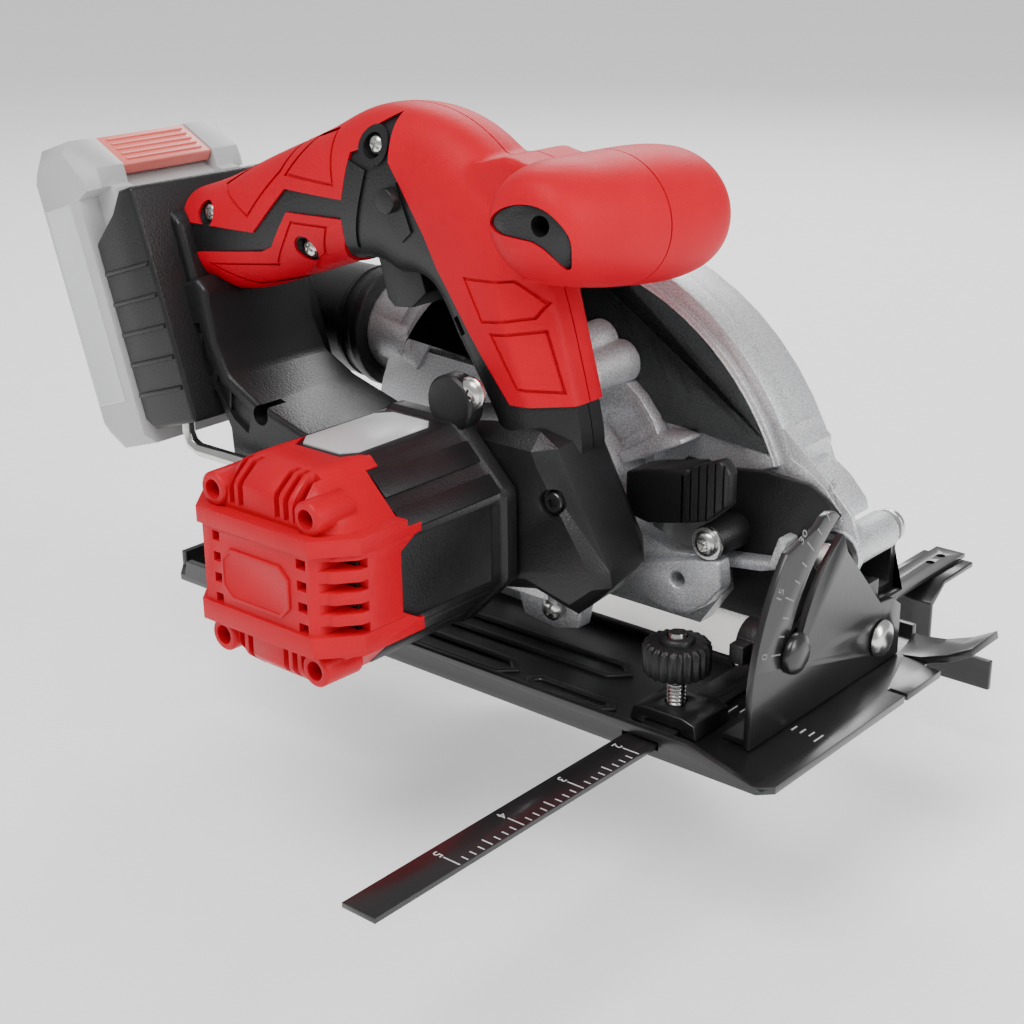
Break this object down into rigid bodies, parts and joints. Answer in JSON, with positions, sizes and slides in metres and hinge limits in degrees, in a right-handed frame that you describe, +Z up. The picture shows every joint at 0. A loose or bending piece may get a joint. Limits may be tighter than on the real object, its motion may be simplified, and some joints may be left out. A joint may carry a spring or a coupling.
{
  "type": "cordless circular saw",
  "caption": "Cordless hand-held circular saw with a bevelling shoe, depth hinge, sprung lower blade guard, rip fence, side front grip and slide-in battery.",
  "frame": {"origin": "centre of the shoe sole, in the plane of the sole", "axes": "+X is the cutting direction, +Y is towards the blade side, +Z is up, away from the work"},
  "size_m": [0.3296, 0.305, 0.2252],
  "materials": {
    "black_plastic": "grained black glass-filled nylon",
    "red_grip": "bright red fine-textured soft overmould",
    "red_plastic": "bright red satin plastic",
    "cast_aluminium": "bead-blasted die casting",
    "black_steel": "semi-gloss black paint on steel",
    "zinc_steel": "bright zinc-plated steel",
    "blade_steel": "ground steel",
    "battery_grey": "mid-grey plastic",
    "latch_red": "salmon-red plastic",
    "copper": "lacquered copper windings",
    "magnet": "dark ferrite"
  },
  "bodies": {
    "shoe": {"shoe_plate": "black_steel", "bevel_quadrant": "black_steel", "rear_bevel_bracket": "black_steel", "fence_bridge": "black_steel", "front_pivot_rivet": "zinc_steel", "rear_pivot_rivet": "zinc_steel"},
    "tilt_frame": {"front_hinge_bracket": "black_steel", "bevel_lock_bolt": "black_steel", "depth_arc": "zinc_steel", "depth_pivot_pin": "zinc_steel"},
    "bevel_knob": {"bevel_lock_knob": "black_plastic"},
    "head": {"upper_guard": "cast_aluminium", "depth_lock_bolt": "zinc_steel", "gear_housing": "cast_aluminium", "gearbox_cover": "black_plastic", "motor_housing": "black_plastic", "motor_end_cap": "red_plastic", "motor_can": "zinc_steel", "magnet_upper": "magnet", "magnet_lower": "magnet", "arbor_bearing_outer": "zinc_steel", "arbor_bearing_inner": "zinc_steel", "rotor_bearing_front": "zinc_steel", "rotor_bearing_rear": "zinc_steel", "motor_screw_upper": "zinc_steel", "handle_shell_right": "black_plastic", "handle_shell_left": "black_plastic", "grip_overmould_right": "red_grip", "grip_overmould_left": "red_grip", "front_knob_right": "red_grip", "front_knob_left": "red_grip", "knob_end_inlay": "black_plastic", "battery_socket": "black_plastic", "terminal_block": "black_plastic", "dust_port": "black_plastic", "trigger_switch": "black_plastic"},
    "lower_guard": {"lower_guard": "cast_aluminium"},
    "blade": {"saw_blade": "blade_steel", "arbor_shaft": "zinc_steel", "inner_flange": "zinc_steel", "outer_flange": "zinc_steel", "blade_bolt": "zinc_steel", "drive_gear": "zinc_steel"},
    "rotor": {"motor_shaft": "zinc_steel", "armature": "copper", "commutator": "copper", "cooling_fan": "black_plastic"},
    "depth_lever": {"depth_lock_lever": "black_plastic"},
    "trigger": {"trigger": "black_plastic"},
    "lock_off": {"lock_off_button": "black_plastic"},
    "spindle_lock": {"spindle_lock_lever": "black_plastic"},
    "battery": {"battery_case": "battery_grey"},
    "battery_latch": {"battery_latch": "latch_red"},
    "fence": {"fence_bar": "black_steel", "fence_plate": "black_steel"},
    "fence_knob": {"fence_clamp_stud": "zinc_steel", "fence_clamp_knob": "black_plastic"},
    "hex_key": {"hex_key": "zinc_steel"}
  },
  "joints": [
    {"name": "bevel", "type": "hinge", "parent": "shoe", "child": "tilt_frame", "pos_m": [0.109, 0.031, 0.0125], "axis": [-1, 0, 0], "range_deg": [0, 45]},
    {"name": "depth", "type": "hinge", "parent": "tilt_frame", "child": "head", "pos_m": [0.101, 0.0325, 0.042], "axis": [0, 1, 0], "range_deg": [0, 25]},
    {"name": "bevel_knob_turn", "type": "hinge", "parent": "tilt_frame", "child": "bevel_knob", "pos_m": [0.1, -0.02116, 0.02648], "axis": [1, 0, 0], "range_deg": [0, 180]},
    {"name": "depth_lever_swing", "type": "hinge", "parent": "head", "child": "depth_lever", "pos_m": [-0.07012, 0.053, 0.05938], "axis": [0, -1, 0], "range_deg": [0, 70]},
    {"name": "lower_guard_swing", "type": "hinge", "parent": "head", "child": "lower_guard", "pos_m": [-0.005, 0.0325, 0.032], "axis": [0, 1, 0], "range_deg": [0, 100], "stiffness_Nm_per_rad": 0.12, "springref_deg": -45.84},
    {"name": "blade_spin", "type": "hinge", "parent": "head", "child": "blade", "pos_m": [-0.005, 0.0325, 0.032], "axis": [0, 1, 0], "continuous": true},
    {"name": "rotor_spin", "type": "hinge", "parent": "head", "child": "rotor", "pos_m": [-0.008, -0.091, 0.0499], "axis": [0, 1, 0], "continuous": true},
    {"name": "trigger_pull", "type": "slide", "parent": "head", "child": "trigger", "axis": [0, 0, 1], "range_m": [0, 0.004], "stiffness_N_per_m": 600, "springref_m": -0.008},
    {"name": "lock_off_push", "type": "slide", "parent": "head", "child": "lock_off", "axis": [0, 1, 0], "range_m": [0, 0.003], "stiffness_N_per_m": 500, "springref_m": -0.004},
    {"name": "spindle_lock_push", "type": "slide", "parent": "head", "child": "spindle_lock", "axis": [-1, 0, 0], "range_m": [0, 0.004], "stiffness_N_per_m": 600, "springref_m": -0.005},
    {"name": "battery_slide", "type": "slide", "parent": "head", "child": "battery", "axis": [-0.3007, 0, 0.9537], "range_m": [0, 0.12]},
    {"name": "latch_press", "type": "slide", "parent": "battery", "child": "battery_latch", "axis": [-0.4617, 0, -0.887], "range_m": [0, 0.002], "stiffness_N_per_m": 900, "springref_m": -0.003},
    {"name": "fence_slide", "type": "slide", "parent": "shoe", "child": "fence", "axis": [0, 1, 0], "range_m": [-0.035, 0.12]},
    {"name": "fence_knob_turn", "type": "hinge", "parent": "shoe", "child": "fence_knob", "pos_m": [0.0825, -0.0385, 0.02], "axis": [0, 0, 1], "range_deg": [-360, 0]},
    {"name": "hex_key_release", "type": "slide", "parent": "head", "child": "hex_key", "axis": [0, 0, -1], "range_m": [0, 0.022]}
  ],
  "couplings": [
    {"joint": "rotor_spin", "follows": "blade_spin", "ratio": -4}
  ]
}
